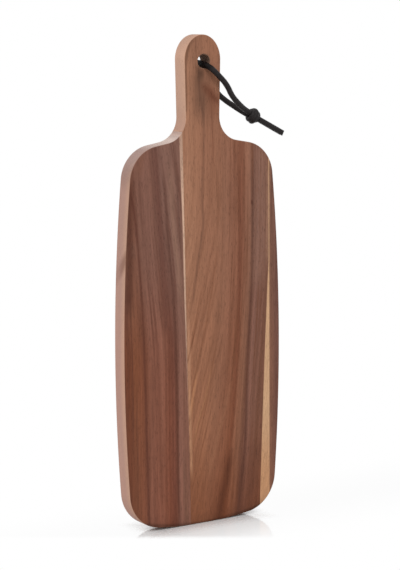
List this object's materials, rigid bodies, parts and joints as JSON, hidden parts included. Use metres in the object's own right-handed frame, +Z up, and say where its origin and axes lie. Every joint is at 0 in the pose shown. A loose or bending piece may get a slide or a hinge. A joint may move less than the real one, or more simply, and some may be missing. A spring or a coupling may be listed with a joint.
{
  "type": "serving board",
  "caption": "Long edge-glued hardwood serving board with bulged sides, a round-ended handle and a knotted leather lace swinging in its hanging hole.",
  "frame": {"origin": "middle of the flat lower end that the board stands on", "axes": "+Z up along the board towards the handle, +X to the right seen from the serving face, +Y through the thickness towards the back face"},
  "size_m": [0.1909, 0.0384, 0.48],
  "materials": {
    "red_brown_wood": "oiled, satin",
    "orange_brown_wood": "oiled, satin",
    "dark_wood": "oiled, satin",
    "glue": "cured adhesive",
    "leather": "black, waxed"
  },
  "bodies": {
    "board": {"left_stave": "red_brown_wood", "left_glue_line": "glue", "centre_stave": "orange_brown_wood", "right_glue_line": "glue", "right_stave": "dark_wood"},
    "lace": {"lace_loop": "leather", "lace_knot": "leather", "lace_front_tail": "leather", "lace_back_tail": "leather"}
  },
  "joints": [
    {"name": "lace_swing", "type": "hinge", "parent": "board", "child": "lace", "pos_m": [0.0015, 0, 0.4545], "axis": [0, -1, 0], "range_deg": [-12, 264]}
  ]
}
